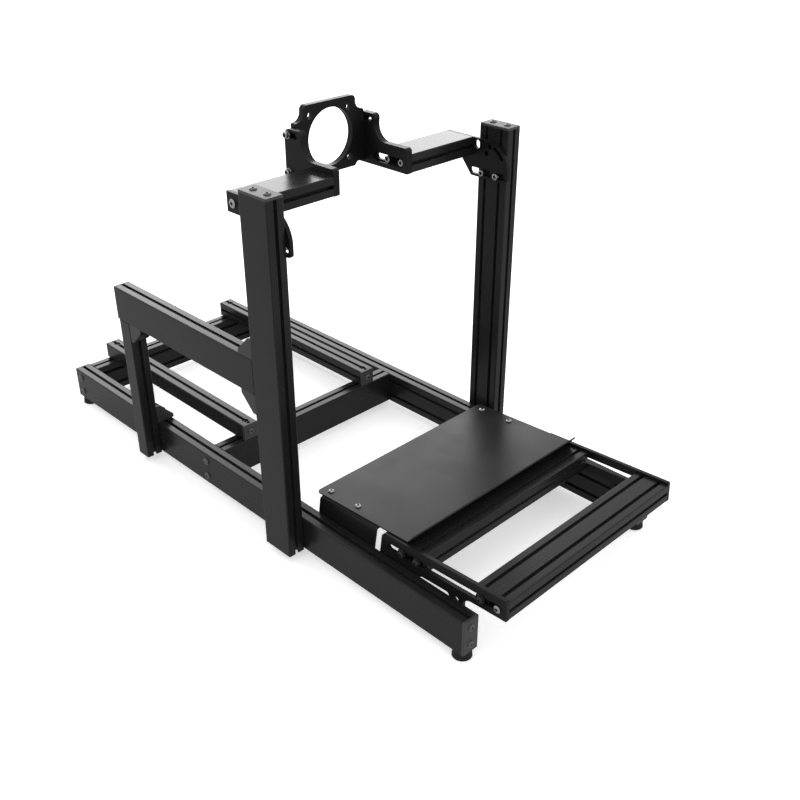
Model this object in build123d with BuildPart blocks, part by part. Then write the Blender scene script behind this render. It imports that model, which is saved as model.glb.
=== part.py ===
from build123d import *

import os
from math import cos, radians, sin, tan

# Sim racing cockpit: a bolted rig of slotted aluminium bar that carries a seat,
# a wheel motor, pedals and a shifter. Millimetres. X is the driver's right,
# Y is forward, Z is up. The floor is Z = 0 and the origin is the middle of the
# footprint. A "station" is a distance forward from the rear of the base rails,
# and a "level" is a height above the underside of the base rails.

# Slotted bar
module = 40.0
corner_radius = 2.5
slot_opening = 8.2
slot_lip = 4.5
slot_cavity_width = 20.0
slot_cavity_shoulder = 1.5
slot_floor_width = 9.0
slot_depth = 12.3
core_diameter = 6.8
chamber_width = 14.0
chamber_wall = 4.5
cap_thickness = 5.0
cap_edge = 1.0

# Base frame
base_inner_half_width = 265.0
base_rail_length = 1380.0
front_crossmember_station = 570.0
seat_rail_inner_half_gap = 167.5
seat_rail_length = 600.0

# Feet
foot_height = 20.0
foot_diameter = 40.0
foot_top_diameter = 36.0
foot_edge = 1.5
foot_screw_recess = 17.0
foot_screw_recess_depth = 9.0

# Uprights, shifter arm and its post
upright_station = 856.0
upright_length = 775.0
upright_drop = 2.0
shifter_arm_length = 500.0
shifter_arm_level = 357.0

# Corner brackets
bracket_leg = 44.0
bracket_width = 38.0
bracket_flange = 5.5
bracket_web = 3.5
bracket_tip = 9.0
bracket_tip_radius = 3.0
bracket_slot_length = 13.0
bracket_hole_reach = 26.0

# Bolts
bolt_clearance = 8.6
screw_drop_in = 15.0

# Wheel deck
deck_beam_level = 705.0
deck_beam_setback = 12.0
deck_plate_thickness = 8.0
deck_plate_nose = 10.0
deck_plate_nose_radius = 60.5
deck_plate_drop = 45.0
deck_plate_heel = 14.0
deck_plate_chamfer_run = 38.0
deck_plate_corner = 7.0
deck_plate_bend_radius = 3.0
deck_slot_width = 14.0
deck_slot_wall = 5.5
deck_slot_reach = 18.0
deck_arc_radius = 50.0
deck_arc_start = 33.0
deck_arc_end = 64.0
deck_short_slot_reach = 1.0
deck_short_slot_length = 19.0
deck_short_slot_width = 16.0
deck_short_slot_wall = 4.0
deck_hole_diameter = 12.0
deck_hole_upper_inset = 53.5
deck_hole_upper_drop = 12.5
deck_hole_lower_inset = 61.5
deck_hole_lower_drop = 29.0

# Wheel mount: two side plates with a plate between them that holds the motor
mount_half_width = 93.0
wheel_plate_thickness = 15.0
wheel_plate_length = 146.0
wheel_plate_arm_height = 53.5
wheel_plate_height = 108.0
wheel_plate_lobe_top = 51.5
wheel_plate_lobe_foot = 46.5
wheel_plate_neck_radius = 33.0
wheel_plate_nose_radius = 8.0
wheel_plate_tip_radius = 9.0
wheel_plate_back_radius = 14.0
wheel_slot_width = 13.0
wheel_slot_recess_width = 19.0
wheel_slot_recess_depth = 8.0
wheel_slot_length = 91.0
tilt_slot_width = 12.0
tilt_slot_length = 36.0
mount_thickness = 14.0
mount_inset = 3.0
mount_drop = 2.0
mount_height = 149.0
mount_tab_half_width = 70.0
mount_tab_radius = 10.0
mount_shoulder_drop = 32.0
mount_scallop_radius = 19.5
mount_shoulder_radius = 3.0
mount_foot_half_width = 66.0
mount_foot_step = 8.0
mount_foot_run = 7.0
mount_foot_radius = 5.0
motor_bore = 120.0
motor_bolt_spacing = 104.0
motor_bolt_hole = 15.0
mount_bolt_low = 20.0
mount_bolt_spacing = 76.0

# Pedal deck, tilted up at the front; U runs forward along it and V stands on it
pedal_tilt = 3.0
pedal_deck_station = 1210.0
pedal_deck_level = 108.0
pedal_beam_spacing = 203.0
pedal_plate_thickness = 8.0
pedal_plate_above = 26.0
pedal_plate_below = 20.5
pedal_plate_corner = 2.0
pedal_plate_tail = 76.0
pedal_tail_chamfer = 8.0
pedal_plate_tail_lean = 14.0
pedal_wing_bottom = 58.0
pedal_wing_radius = 4.0
pedal_wing_front = 5.0
pedal_notch_top = 28.5
pedal_notch_rear = 30.0
pedal_notch_front = 103.0
pedal_notch_radius = 8.0
pedal_tab_front = 137.0
pedal_tab_bottom = 66.0
pedal_tab_radius = 10.0
pedal_neck_radius = 22.0
pedal_slot_width = 15.0
pedal_slot_margin = 12.0
pedal_slot_lead = 60.0
pedal_tab_hole = 14.0
pedal_tab_hole_reach = 121.0
pedal_tab_hole_drop = 35.0
pedal_bolt_rear = 65.0
pedal_bolt_mid = 15.0
pedal_bolt_front = 120.0

# Heel plate and its brackets, on the same tilt
heel_plate_thickness = 3.0
heel_plate_gap = 0.3
heel_plate_clearance = 7.0
heel_plate_rear = 280.0
heel_plate_bend = 10.0
heel_lip_length = 28.0
heel_lip_angle = 49.0
heel_bend_radius = 3.0
heel_corner_radius = 10.0
heel_bolt_inset = 26.0
heel_bolt_rear = 255.0
heel_bolt_front = 172.0
heel_bracket_thickness = 4.0
heel_bracket_flange = 40.0
heel_bracket_rear = 261.0
heel_bracket_front = 91.0
heel_bracket_lean = 8.5
heel_bracket_below_slot = 15.0
heel_bracket_corner = 6.0
heel_bracket_bolt_inset = 25.0

# Sizes that follow from the ones above
bar = 2 * module
cross_hole_depth = module - slot_depth + slot_cavity_shoulder
base_outer_half_width = base_inner_half_width + module
tilt = radians(pedal_tilt)
pedal_plate_front = pedal_beam_spacing + module
overall_length = (
    pedal_deck_station
    + (pedal_plate_front - pedal_plate_corner) * cos(tilt)
    + (pedal_plate_below - pedal_plate_corner) * sin(tilt)
    + pedal_plate_corner
)
rear_y = -overall_length / 2
rail_start_y = rear_y + cap_thickness
rail_bottom = foot_height
rail_top = rail_bottom + bar
lower_slot_z = rail_bottom + module / 2
upper_slot_z = rail_top - module / 2
rear_crossmember_y = rail_start_y + module / 2
front_crossmember_y = rear_y + front_crossmember_station + module / 2
upright_rear_y = rear_y + upright_station
upright_slot_ys = (upright_rear_y + module / 2, upright_rear_y + bar - module / 2)
arm_bottom = rail_bottom + shifter_arm_level
arm_top = arm_bottom + bar
arm_rear_y = upright_rear_y - shifter_arm_length
post_y = arm_rear_y + module / 2
beam_front_y = upright_rear_y - deck_beam_setback
beam_rear_y = beam_front_y - bar
beam_bottom_z = rail_bottom + deck_beam_level
beam_top_z = beam_bottom_z + module
beam_core_z = beam_bottom_z + module / 2
beam_core_ys = (beam_rear_y + module / 2, beam_front_y - module / 2)
wheel_plate_outer = mount_half_width + wheel_plate_thickness
wheel_plate_rear_y = beam_front_y - wheel_plate_length
mount_rear_y = wheel_plate_rear_y + mount_inset
mount_front_y = mount_rear_y + mount_thickness
mount_centre_z = beam_bottom_z - mount_drop + mount_height / 2
deck_plate_inner = base_outer_half_width - deck_plate_thickness
pedal_plate_inner = base_inner_half_width - pedal_plate_thickness
pedal_y = rear_y + pedal_deck_station
pedal_z = rail_bottom + pedal_deck_level
heel_plate_half_width = base_inner_half_width - heel_plate_clearance
heel_bolt_half_spacing = base_inner_half_width - heel_bolt_inset
heel_seat = pedal_plate_above + heel_plate_gap

os.makedirs("parts", exist_ok=True)


def finish(piece, label):
    """Label a finished piece and write it to its own file."""
    piece.part.label = label
    export_step(piece.part, f"parts/{label}.step")


def outline(*corners):
    """Closed outline through corners given as across, up and corner radius."""
    return FilletPolyline(
        [corner[:2] for corner in corners],
        radius=[corner[2] for corner in corners],
        close=True,
    )


def deck_yz(u, v):
    """World Y and Z of a point on the tilted pedal deck."""
    return (pedal_y + u * cos(tilt) - v * sin(tilt), pedal_z + u * sin(tilt) + v * cos(tilt))


def side_plane(x):
    """Plane across the rig at X = x, its own axes along world Y and Z."""
    return Plane(origin=(x, 0, 0), x_dir=(0, 1, 0), z_dir=(1, 0, 0))


def deck_plane(x):
    """Plane across the rig at X = x, its own axes along the deck's U and V."""
    return Plane(origin=(x, pedal_y, pedal_z), x_dir=(0, cos(tilt), sin(tilt)), z_dir=(1, 0, 0))


# Section of the bar
def channel(has_mouth):
    """Slot below a face at Y = 0, with or without the mouth through its lip."""
    shoulder = slot_lip + slot_cavity_shoulder
    with BuildSketch() as cut:
        with BuildLine():
            Polyline(
                (-slot_cavity_width / 2, -slot_lip),
                (slot_cavity_width / 2, -slot_lip),
                (slot_cavity_width / 2, -shoulder),
                (slot_floor_width / 2, -slot_depth),
                (-slot_floor_width / 2, -slot_depth),
                (-slot_cavity_width / 2, -shoulder),
                close=True,
            )
        make_face()
        if has_mouth:
            with Locations((0, -slot_lip / 2)):
                Rectangle(slot_opening, slot_lip)
    return cut.sketch


slotted = channel(True)
plain = channel(False)


def bar_outline(cells):
    """Outside of a bar whose cells stand in a row along X."""
    with BuildSketch() as shape:
        Rectangle(cells * module, module)
        fillet(shape.vertices(), corner_radius)
    return shape.sketch


def cell_centres(cells):
    """Centres of the cells of a bar."""
    return [((index - (cells - 1) / 2) * module, 0) for index in range(cells)]


def bar_section(cells, open_faces):
    """Section of a bar; open_faces holds the names of the faces that are slotted."""
    end = cells * module / 2
    centres = cell_centres(cells)
    with BuildSketch() as section:
        add(bar_outline(cells))
        with Locations(*[(x, module / 2) for x, _ in centres]):
            add(slotted if "+Y" in open_faces else plain, mode=Mode.SUBTRACT)
        with Locations(*[(x, -module / 2) for x, _ in centres]):
            add(slotted if "-Y" in open_faces else plain, rotation=180, mode=Mode.SUBTRACT)
        with Locations((end, 0)):
            add(slotted if "+X" in open_faces else plain, rotation=-90, mode=Mode.SUBTRACT)
        with Locations((-end, 0)):
            add(slotted if "-X" in open_faces else plain, rotation=90, mode=Mode.SUBTRACT)
        with Locations(*centres):
            Circle(core_diameter / 2, mode=Mode.SUBTRACT)
        if cells > 1:
            Rectangle(chamber_width, module - 2 * chamber_wall, mode=Mode.SUBTRACT)
    return section.sketch


def make_bar(label, end, length, cells, open_faces, holes=(), drop_ins=()):
    """Bar on the plane called end; its cross holes and drop-ins end in the far slot."""
    with BuildPart() as piece:
        with BuildSketch(end):
            add(bar_section(cells, open_faces))
        extrude(amount=length)
        if holes:
            with Locations(*holes):
                Hole(bolt_clearance / 2, depth=cross_hole_depth)
        if drop_ins:
            with Locations(*drop_ins):
                CounterBoreHole(
                    bolt_clearance / 2, screw_drop_in / 2, slot_depth, depth=cross_hole_depth
                )
    finish(piece, label)


def make_cap(label, seat, cells):
    """End cap that stands on the plane called seat, over the end of a bar."""
    with BuildPart() as cap:
        with BuildSketch(seat):
            add(bar_outline(cells))
        extrude(amount=cap_thickness)
        outer_face = cap.faces().sort_by(Axis(seat.origin, seat.z_dir))[-1]
        chamfer(outer_face.outer_wire().edges(), cap_edge)
    finish(cap, label)


def make_foot(label, x, y):
    """Round rubber foot with a sunk hole for its screw."""
    with BuildPart() as foot:
        with BuildSketch(Plane(origin=(x, y, 0), x_dir=(1, 0, 0), z_dir=(0, -1, 0))):
            with BuildLine():
                outline(
                    (bolt_clearance / 2, foot_screw_recess_depth, 0),
                    (foot_screw_recess / 2, foot_screw_recess_depth, 0),
                    (foot_screw_recess / 2, 0, 0),
                    (foot_diameter / 2 - foot_edge, 0, 0),
                    (foot_diameter / 2, foot_edge, 0),
                    (foot_top_diameter / 2, foot_height, 0),
                    (bolt_clearance / 2, foot_height, 0),
                )
            make_face()
        revolve(axis=Axis((x, y, 0), (0, 0, 1)))
    finish(foot, label)


def make_bracket(label, seat):
    """Cast corner bracket, its two legs along the X and Y of the plane called seat."""
    half = bracket_width / 2
    with BuildPart() as bracket:
        with BuildSketch(seat):
            with BuildLine():
                outline(
                    (0, 0, 0),
                    (bracket_leg, 0, 0),
                    (bracket_leg, bracket_tip, bracket_tip_radius),
                    (bracket_tip, bracket_leg, bracket_tip_radius),
                    (0, bracket_leg, 0),
                )
            make_face()
        extrude(amount=half, both=True)
        with BuildSketch(seat):
            with Locations((bracket_flange, bracket_flange)):
                Rectangle(bracket_leg, bracket_leg, align=(Align.MIN, Align.MIN))
        extrude(amount=half - bracket_web, both=True, mode=Mode.SUBTRACT)
        with BuildSketch(Plane(seat.origin, x_dir=seat.x_dir, z_dir=-seat.y_dir)):
            with Locations((bracket_hole_reach, 0)):
                SlotOverall(bracket_slot_length, bolt_clearance)
        extrude(amount=-bracket_flange, mode=Mode.SUBTRACT)
        with BuildSketch(Plane(seat.origin, x_dir=seat.y_dir, z_dir=-seat.x_dir)):
            with Locations((bracket_hole_reach, 0)):
                SlotOverall(bracket_slot_length, bolt_clearance)
        extrude(amount=-bracket_flange, mode=Mode.SUBTRACT)
    finish(bracket, label)


def along_y(x, y, z):
    """Bar end that looks forward; the bar's cells are stacked along Z."""
    return Plane(origin=(x, y, z), x_dir=(0, 0, 1), z_dir=(0, 1, 0))


def upward(x, y, z):
    """Bar end that looks up; the bar's cells are in a row along Y."""
    return Plane(origin=(x, y, z), x_dir=(0, 1, 0), z_dir=(0, 0, 1))


# Base frame, uprights and seat rails, the same on both sides
for side, name in ((1, "right"), (-1, "left")):
    outward = (side, 0, 0)
    inner_face = "-Y" if side > 0 else "+Y"
    rail_x = side * (base_inner_half_width + module / 2)
    rail_z = rail_bottom + module
    bolt_ys = [rear_crossmember_y, front_crossmember_y, *upright_slot_ys]
    if side > 0:
        bolt_ys.append(post_y)
    rail_bolts = [
        Plane((side * base_outer_half_width, y, z), z_dir=outward)
        for y in bolt_ys
        for z in (lower_slot_z, upper_slot_z)
    ]
    make_bar(
        f"base_rail_{name}",
        along_y(rail_x, rail_start_y, rail_z),
        base_rail_length,
        2,
        ("+X", "-X", inner_face),
        holes=rail_bolts,
    )
    rail_end_y = rail_start_y + base_rail_length
    make_cap(f"base_rail_cap_front_{name}", along_y(rail_x, rail_end_y, rail_z), 2)
    rear_seat = Plane((rail_x, rail_start_y, rail_z), x_dir=(0, 0, 1), z_dir=(0, -1, 0))
    make_cap(f"base_rail_cap_rear_{name}", rear_seat, 2)
    make_foot(f"foot_rear_{name}", rail_x, rear_y + foot_diameter / 2)
    make_foot(f"foot_front_{name}", rail_x, rail_end_y + cap_thickness - foot_diameter / 2)

    seat_x = side * (seat_rail_inner_half_gap + module / 2)
    seat_z = rail_top + module / 2
    seat_screws = [
        Plane((seat_x, y, rail_top + module)) for y in (rear_crossmember_y, front_crossmember_y)
    ]
    make_bar(
        f"seat_rail_{name}",
        along_y(seat_x, rail_start_y, seat_z),
        seat_rail_length,
        1,
        ("+X", "-X", inner_face),
        drop_ins=seat_screws,
    )
    seat_end_y = rail_start_y + seat_rail_length
    make_cap(f"seat_rail_cap_front_{name}", along_y(seat_x, seat_end_y, seat_z), 1)
    rear_seat = Plane((seat_x, rail_start_y, seat_z), x_dir=(0, 0, 1), z_dir=(0, -1, 0))
    make_cap(f"seat_rail_cap_rear_{name}", rear_seat, 1)

    upright_x = side * (base_outer_half_width + module / 2)
    upright_y = upright_rear_y + module
    upright_bottom = rail_bottom - upright_drop
    upright_inner_face = "+Y" if side > 0 else "-Y"
    make_bar(
        f"upright_{name}",
        upward(upright_x, upright_y, upright_bottom),
        upright_length,
        2,
        ("+X", "-X", upright_inner_face),
    )
    make_cap(f"upright_cap_{name}", upward(upright_x, upright_y, upright_bottom + upright_length), 2)

# Cross members between the base rails, their plain faces outward
for name, y, inner_face in (
    ("rear", rear_crossmember_y, "-Y"),
    ("front", front_crossmember_y, "+Y"),
):
    start = Plane(
        origin=(-base_inner_half_width, y, rail_bottom + module),
        x_dir=(0, 0, 1),
        z_dir=(1, 0, 0),
    )
    make_bar(
        f"{name}_crossmember",
        start,
        2 * base_inner_half_width,
        2,
        ("+X", "-X", inner_face),
    )

# Shifter arm on its post, and the corner brackets that hold them
arm_x = base_outer_half_width + module / 2
make_bar(
    "shifter_arm",
    along_y(arm_x, arm_rear_y, arm_bottom + module),
    shifter_arm_length,
    2,
    ("+X", "-X", "-Y"),
)
arm_end = Plane((arm_x, arm_rear_y, arm_bottom + module), x_dir=(0, 0, 1), z_dir=(0, -1, 0))
make_cap("shifter_arm_cap", arm_end, 2)
post_bottom = rail_bottom - upright_drop
make_bar(
    "shifter_post",
    upward(arm_x, post_y, post_bottom),
    arm_bottom - post_bottom,
    1,
    ("+X", "-X", "+Y"),
)
make_bracket(
    "arm_bracket_upper",
    Plane((arm_x, upright_rear_y, arm_top), x_dir=(0, -1, 0), z_dir=(-1, 0, 0)),
)
make_bracket(
    "arm_bracket_lower",
    Plane((arm_x, upright_rear_y, arm_bottom), x_dir=(0, -1, 0), z_dir=(1, 0, 0)),
)
make_bracket(
    "post_bracket_upper",
    Plane((arm_x, post_y + module / 2, arm_bottom), x_dir=(0, 1, 0), z_dir=(-1, 0, 0)),
)
make_bracket(
    "post_bracket_lower",
    Plane((base_outer_half_width, post_y, rail_top), x_dir=(-1, 0, 0), z_dir=(0, 1, 0)),
)

# Wheel deck beams, plain face up
beam_length = deck_plate_inner - wheel_plate_outer
for name, x in (("right", wheel_plate_outer), ("left", -deck_plate_inner)):
    make_bar(
        f"deck_beam_{name}",
        Plane((x, beam_rear_y + module, beam_core_z), x_dir=(0, 1, 0), z_dir=(1, 0, 0)),
        beam_length,
        2,
        ("+X", "-X", "-Y"),
    )

# Plates that join the wheel deck to the uprights
nose_y = upright_rear_y + bar + deck_plate_nose
arc_centre = (nose_y - deck_plate_nose_radius, beam_top_z - deck_plate_nose_radius)
deck_plate_bottom = beam_bottom_z - deck_plate_drop
deck_plate_heel_y = upright_rear_y - deck_plate_heel
deck_slot_z = deck_plate_bottom + deck_slot_wall + deck_slot_width / 2
deck_slot_front = nose_y - deck_slot_wall
deck_slot_rear = upright_rear_y - deck_slot_reach
short_slot_z = beam_top_z - deck_short_slot_wall - deck_short_slot_length / 2
with BuildPart() as deck_side_plate_right:
    with BuildSketch(side_plane(deck_plate_inner)):
        with BuildLine():
            outline(
                (beam_rear_y, beam_bottom_z, 0),
                (
                    deck_plate_heel_y - deck_plate_chamfer_run,
                    beam_bottom_z,
                    deck_plate_bend_radius,
                ),
                (deck_plate_heel_y, deck_plate_bottom, deck_plate_corner),
                (nose_y, deck_plate_bottom, deck_plate_corner),
                (nose_y, beam_top_z, deck_plate_nose_radius),
                (beam_rear_y, beam_top_z, 0),
            )
        make_face()
        with Locations(((deck_slot_front + deck_slot_rear) / 2, deck_slot_z)):
            SlotOverall(deck_slot_front - deck_slot_rear, deck_slot_width, mode=Mode.SUBTRACT)
        with Locations((upright_rear_y + deck_short_slot_reach, short_slot_z)):
            SlotOverall(
                deck_short_slot_length, deck_short_slot_width, rotation=90, mode=Mode.SUBTRACT
            )
        with BuildLine(mode=Mode.PRIVATE) as arc:
            CenterArc(arc_centre, deck_arc_radius, deck_arc_start, deck_arc_end - deck_arc_start)
        SlotArc(arc.edge(), bolt_clearance, mode=Mode.SUBTRACT)
        with Locations(
            (nose_y - deck_hole_upper_inset, beam_top_z - deck_hole_upper_drop),
            (nose_y - deck_hole_lower_inset, beam_top_z - deck_hole_lower_drop),
        ):
            Circle(deck_hole_diameter / 2, mode=Mode.SUBTRACT)
        with Locations(*[(y, beam_core_z) for y in beam_core_ys]):
            Circle(bolt_clearance / 2, mode=Mode.SUBTRACT)
    extrude(amount=deck_plate_thickness)
finish(deck_side_plate_right, "deck_side_plate_right")

with BuildPart() as deck_side_plate_left:
    mirror(deck_side_plate_right.part, about=Plane.YZ)
finish(deck_side_plate_left, "deck_side_plate_left")

# Side plates of the wheel mount: a slot stepped for the bolt heads, and a tilt slot above
wheel_arm_z = beam_bottom_z + wheel_plate_arm_height
wheel_top_z = beam_bottom_z + wheel_plate_height
mount_bolt_y = mount_rear_y + mount_thickness / 2
mount_bolt_z = beam_bottom_z + mount_bolt_low
tilt_slot_z = mount_bolt_z + mount_bolt_spacing
wheel_slot_front = beam_core_ys[1] + wheel_slot_recess_width / 2
wheel_slot_y = wheel_slot_front - wheel_slot_length / 2
wheel_slot_step = wheel_slot_recess_width - wheel_slot_width
with BuildPart() as wheel_side_plate_right:
    with BuildSketch(side_plane(mount_half_width)):
        with BuildLine():
            outline(
                (wheel_plate_rear_y, beam_bottom_z, 0),
                (beam_front_y, beam_bottom_z, 0),
                (beam_front_y, wheel_arm_z, wheel_plate_nose_radius),
                (wheel_plate_rear_y + wheel_plate_lobe_foot, wheel_arm_z, wheel_plate_neck_radius),
                (wheel_plate_rear_y + wheel_plate_lobe_top, wheel_top_z, wheel_plate_tip_radius),
                (wheel_plate_rear_y, wheel_top_z, wheel_plate_back_radius),
            )
        make_face()
        with Locations((wheel_slot_y, beam_core_z)):
            SlotOverall(
                wheel_slot_length - wheel_slot_step, wheel_slot_width, mode=Mode.SUBTRACT
            )
        with Locations((mount_bolt_y + (tilt_slot_length - tilt_slot_width) / 2, tilt_slot_z)):
            SlotOverall(tilt_slot_length, tilt_slot_width, mode=Mode.SUBTRACT)
        with Locations((mount_bolt_y, mount_bolt_z)):
            Circle(bolt_clearance / 2, mode=Mode.SUBTRACT)
    extrude(amount=wheel_plate_thickness)
    with BuildSketch(side_plane(mount_half_width)):
        with Locations((wheel_slot_y, beam_core_z)):
            SlotOverall(wheel_slot_length, wheel_slot_recess_width)
    extrude(amount=wheel_slot_recess_depth, mode=Mode.SUBTRACT)
finish(wheel_side_plate_right, "wheel_side_plate_right")

with BuildPart() as wheel_side_plate_left:
    mirror(wheel_side_plate_right.part, about=Plane.YZ)
finish(wheel_side_plate_left, "wheel_side_plate_left")

# Plate that holds the wheel motor: a bored tab between two low shoulders
top = mount_height / 2
shoulder = top - mount_shoulder_drop
foot_rise = -top + mount_foot_step
foot_reach = mount_foot_half_width + mount_foot_run
half_outline = [
    (mount_foot_half_width, -top, mount_foot_radius),
    (foot_reach, foot_rise, mount_foot_radius),
    (mount_half_width, foot_rise, 0),
    (mount_half_width, shoulder, mount_shoulder_radius),
    (mount_tab_half_width, shoulder, mount_scallop_radius),
    (mount_tab_half_width, top, mount_tab_radius),
]
with BuildPart() as wheel_mount_plate:
    with BuildSketch(Plane((0, mount_front_y, mount_centre_z), x_dir=(1, 0, 0), z_dir=(0, -1, 0))):
        with BuildLine():
            outline(*half_outline, *[(-x, z, radius) for x, z, radius in reversed(half_outline)])
        make_face()
        Circle(motor_bore / 2, mode=Mode.SUBTRACT)
        with GridLocations(motor_bolt_spacing, motor_bolt_spacing, 2, 2):
            Circle(motor_bolt_hole / 2, mode=Mode.SUBTRACT)
    extrude(amount=mount_thickness)
finish(wheel_mount_plate, "wheel_mount_plate")

# Pedal beams, their plain face down
for name, u in (("mid", 0), ("front", pedal_beam_spacing)):
    y, z = deck_yz(u, 0)
    make_bar(
        f"pedal_beam_{name}",
        Plane((-pedal_plate_inner, y, z), x_dir=(0, cos(tilt), sin(tilt)), z_dir=(1, 0, 0)),
        2 * pedal_plate_inner,
        2,
        ("+X", "-X", "+Y"),
    )

# Pedal side plates: a long slot for the beams, and feet that bolt to the rails' upper slot
pedal_foot_bolts = [
    (u, (upper_slot_z - pedal_z - u * sin(tilt)) / cos(tilt))
    for u in (-pedal_bolt_rear, -pedal_bolt_mid, pedal_bolt_front)
]
slot_front = pedal_plate_front - pedal_slot_margin
with BuildPart() as pedal_side_plate_right:
    with BuildSketch(deck_plane(pedal_plate_inner)):
        with BuildLine():
            outline(
                (pedal_plate_front, pedal_plate_above, pedal_plate_corner),
                (pedal_plate_front, -pedal_plate_below, pedal_plate_corner),
                (pedal_tab_front, -pedal_plate_below, pedal_neck_radius),
                (pedal_tab_front, -pedal_tab_bottom, pedal_tab_radius),
                (pedal_notch_front, -pedal_tab_bottom, pedal_tab_radius),
                (pedal_notch_front, -pedal_notch_top, pedal_notch_radius),
                (pedal_notch_rear, -pedal_notch_top, pedal_notch_radius),
                (pedal_wing_front, -pedal_wing_bottom, pedal_wing_radius),
                (
                    -pedal_plate_tail - pedal_plate_tail_lean,
                    -pedal_wing_bottom,
                    pedal_wing_radius,
                ),
                (-pedal_plate_tail, pedal_plate_above - pedal_tail_chamfer, 0),
                (-pedal_plate_tail + pedal_tail_chamfer, pedal_plate_above, 0),
            )
        make_face()
        with Locations(((slot_front - pedal_slot_lead) / 2, 0)):
            SlotOverall(slot_front + pedal_slot_lead, pedal_slot_width, mode=Mode.SUBTRACT)
        with Locations((pedal_tab_hole_reach, -pedal_tab_hole_drop)):
            Circle(pedal_tab_hole / 2, mode=Mode.SUBTRACT)
        with Locations(*pedal_foot_bolts):
            Circle(bolt_clearance / 2, mode=Mode.SUBTRACT)
    extrude(amount=pedal_plate_thickness)
finish(pedal_side_plate_right, "pedal_side_plate_right")

with BuildPart() as pedal_side_plate_left:
    mirror(pedal_side_plate_right.part, about=Plane.YZ)
finish(pedal_side_plate_left, "pedal_side_plate_left")

# Heel plate: one sheet with its front edge turned up
normal = (0, -sin(tilt), cos(tilt))
lip_angle = radians(heel_lip_angle)
lip_end_u = -heel_plate_bend + heel_lip_length * cos(lip_angle)
lip_end_v = heel_seat + heel_lip_length * sin(lip_angle)
heel_top = heel_seat + heel_plate_thickness
with BuildPart() as heel_plate:
    with BuildSketch(deck_plane(-heel_plate_half_width)):
        with BuildLine():
            outline(
                (-heel_plate_rear, heel_seat, 0),
                (-heel_plate_bend, heel_seat, heel_bend_radius + heel_plate_thickness),
                (lip_end_u, lip_end_v, 0),
                (
                    lip_end_u - heel_plate_thickness * sin(lip_angle),
                    lip_end_v + heel_plate_thickness * cos(lip_angle),
                    0,
                ),
                (
                    -heel_plate_bend - heel_plate_thickness * tan(lip_angle / 2),
                    heel_top,
                    heel_bend_radius,
                ),
                (-heel_plate_rear, heel_top, 0),
            )
        make_face()
    extrude(amount=2 * heel_plate_half_width)
    lip_normal = (0, -sin(lip_angle + tilt), cos(lip_angle + tilt))
    fillet(heel_plate.edges().filter_by(Axis((0, 0, 0), lip_normal)), heel_corner_radius)
    fillet(heel_plate.edges().filter_by(Axis((0, 0, 0), normal)), heel_corner_radius)
    with Locations(
        *[
            Plane((x, *deck_yz(-u, heel_top)), z_dir=normal)
            for x in (-heel_bolt_half_spacing, heel_bolt_half_spacing)
            for u in (heel_bolt_rear, heel_bolt_front)
        ]
    ):
        Hole(bolt_clearance / 2, depth=heel_plate_thickness)
finish(heel_plate, "heel_plate")

# Heel brackets: an angle trimmed to lean back and bolted to the rail's upper slot
lean = tan(radians(heel_bracket_lean))
bracket_foot_z = upper_slot_z - heel_bracket_below_slot
rear_top = deck_yz(-heel_bracket_rear, heel_seat)
front_top = deck_yz(-heel_bracket_front, heel_seat)
rear_foot_y = rear_top[0] - lean * (rear_top[1] - bracket_foot_z)
front_foot_y = front_top[0] - lean * (front_top[1] - bracket_foot_z)
angle_inner = base_inner_half_width - heel_bracket_thickness
with BuildPart() as heel_bracket_right:
    angle_end = deck_yz(-heel_bracket_rear - module, heel_seat)
    with BuildSketch(Plane((0, *angle_end), x_dir=(1, 0, 0), z_dir=(0, cos(tilt), sin(tilt)))):
        with BuildLine():
            outline(
                (base_inner_half_width, 0, heel_bend_radius + heel_bracket_thickness),
                (base_inner_half_width - heel_bracket_flange, 0, 0),
                (base_inner_half_width - heel_bracket_flange, heel_bracket_thickness, 0),
                (angle_inner, heel_bracket_thickness, heel_bend_radius),
                (angle_inner, 3 * module, 0),
                (base_inner_half_width, 3 * module, 0),
            )
        make_face()
    extrude(amount=heel_bracket_rear - heel_bracket_front + 2 * module)
    with BuildSketch(side_plane(base_inner_half_width - heel_bracket_flange)):
        with BuildLine():
            outline(
                (rear_top[0] + lean * module, rear_top[1] + module, 0),
                (front_top[0] + lean * module, front_top[1] + module, 0),
                (front_foot_y, bracket_foot_z, heel_bracket_corner),
                (rear_foot_y, bracket_foot_z, heel_bracket_corner),
            )
        make_face()
        with Locations(
            (rear_foot_y + heel_bracket_bolt_inset, upper_slot_z),
            (front_foot_y - heel_bracket_bolt_inset, upper_slot_z),
        ):
            Circle(bolt_clearance / 2, mode=Mode.SUBTRACT)
    extrude(amount=heel_bracket_flange, mode=Mode.INTERSECT)
    with Locations(
        *[
            Plane((heel_bolt_half_spacing, *deck_yz(-u, heel_seat)), z_dir=normal)
            for u in (heel_bolt_rear, heel_bolt_front)
        ]
    ):
        Hole(bolt_clearance / 2, depth=heel_bracket_thickness)
finish(heel_bracket_right, "heel_bracket_right")

with BuildPart() as heel_bracket_left:
    mirror(heel_bracket_right.part, about=Plane.YZ)
finish(heel_bracket_left, "heel_bracket_left")
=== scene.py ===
"""Looks for a sim racing cockpit: a bolted rig of black slotted aluminium bar.

The rig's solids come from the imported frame. This script gives each of them its finish, adds the
screws that hold it together, and sets up a plain pale studio. Metres; X is the driver's right,
Y is forward, Z is up.
"""

import logging
import math
from dataclasses import dataclass, field
from enum import Enum
from typing import Any, Iterable

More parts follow.
